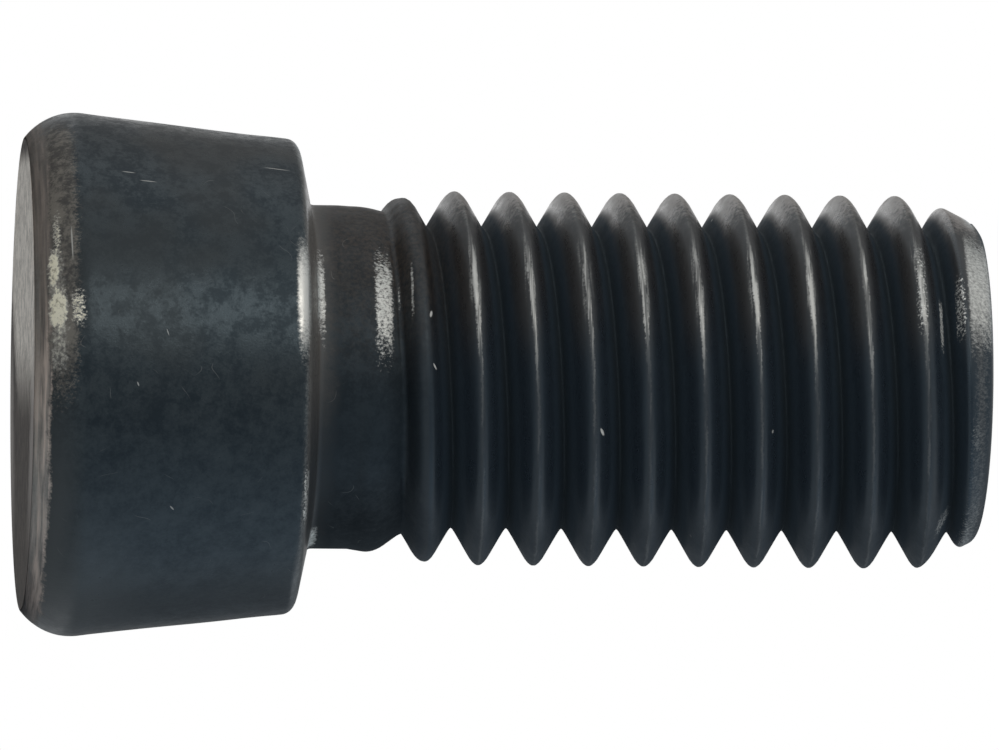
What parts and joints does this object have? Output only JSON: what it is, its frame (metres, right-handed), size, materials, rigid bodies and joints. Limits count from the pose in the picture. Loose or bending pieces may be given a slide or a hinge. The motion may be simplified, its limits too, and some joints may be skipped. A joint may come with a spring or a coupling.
{
  "type": "plow bolt",
  "caption": "Short blackened steel plow bolt with a tapered round head, a flat face, a plain neck and a coarse right-hand thread.",
  "frame": {"origin": "centre of the flat head face, on which the bolt stands", "axes": "+Z along the bolt's axis, from the head face to the threaded tip"},
  "size_m": [0.0164, 0.0164, 0.0302],
  "materials": {
    "black_steel": "blackened steel, worn bright on the edges"
  },
  "bodies": {
    "root": {"plow_bolt": "black_steel"}
  },
  "joints": []
}
